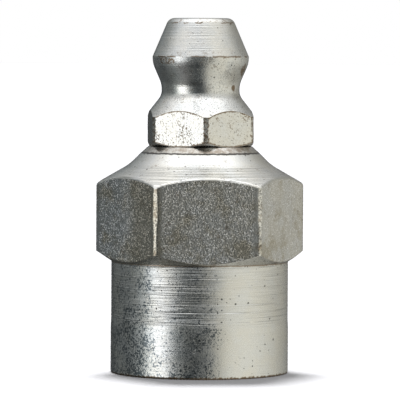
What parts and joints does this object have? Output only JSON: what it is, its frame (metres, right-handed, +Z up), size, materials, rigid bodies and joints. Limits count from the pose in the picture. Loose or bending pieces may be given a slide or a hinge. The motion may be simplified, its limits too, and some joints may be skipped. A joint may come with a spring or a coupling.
{
  "type": "grease nipple",
  "caption": "Grease nipple with a ball valve, screwed into the top of a hexagonal adapter whose round sleeve has a female thread and stands on its open rim.",
  "frame": {"origin": "centre of the sleeve's open rim, on the plane that the part stands on", "axes": "+Z up along the common axis, from the open rim to the nipple's crown; two flats of the large hexagon face +Y and -Y"},
  "size_m": [0.014, 0.0122, 0.0238],
  "materials": {
    "adapter_steel": "zinc-plated turned steel, dull on the hexagon's rolled flats, with fine turning marks on the sleeve",
    "nipple_steel": "zinc-plated turned steel, satin, lightly pitted",
    "ball_steel": "polished hardened steel",
    "spring_wire": "drawn spring wire"
  },
  "bodies": {
    "root": {"adapter": "adapter_steel", "nipple_body": "nipple_steel", "ball_spring": "spring_wire"},
    "valve_ball": {"check_ball": "ball_steel"}
  },
  "joints": [
    {"name": "ball_lift", "type": "slide", "parent": "root", "child": "valve_ball", "axis": [0, 0, -1], "range_m": [0, 0.0009], "stiffness_N_per_m": 1300, "deforming": ["ball_spring"]}
  ]
}
